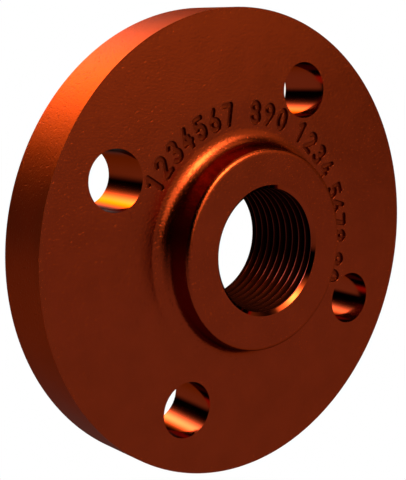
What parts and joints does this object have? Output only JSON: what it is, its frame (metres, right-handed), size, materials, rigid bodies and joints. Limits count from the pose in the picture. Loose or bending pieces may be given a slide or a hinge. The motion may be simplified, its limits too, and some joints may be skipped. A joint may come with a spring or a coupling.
{
  "type": "threaded pipe flange",
  "caption": "Round flange with a short threaded hub that screws onto a pipe end, and bolt holes that clamp its raised gasket face to a mating flange.",
  "frame": {"origin": "centre of the raised gasket face, which the flange lies on", "axes": "+Z along the bore's axis from the gasket face to the hub; the bolt holes lie at 45 degrees to X and Y"},
  "size_m": [0.1164, 0.1164, 0.024],
  "materials": {
    "metal": "copper-red bronze with a fine cast grain, satin"
  },
  "bodies": {
    "root": {"flange": "metal"}
  },
  "joints": []
}
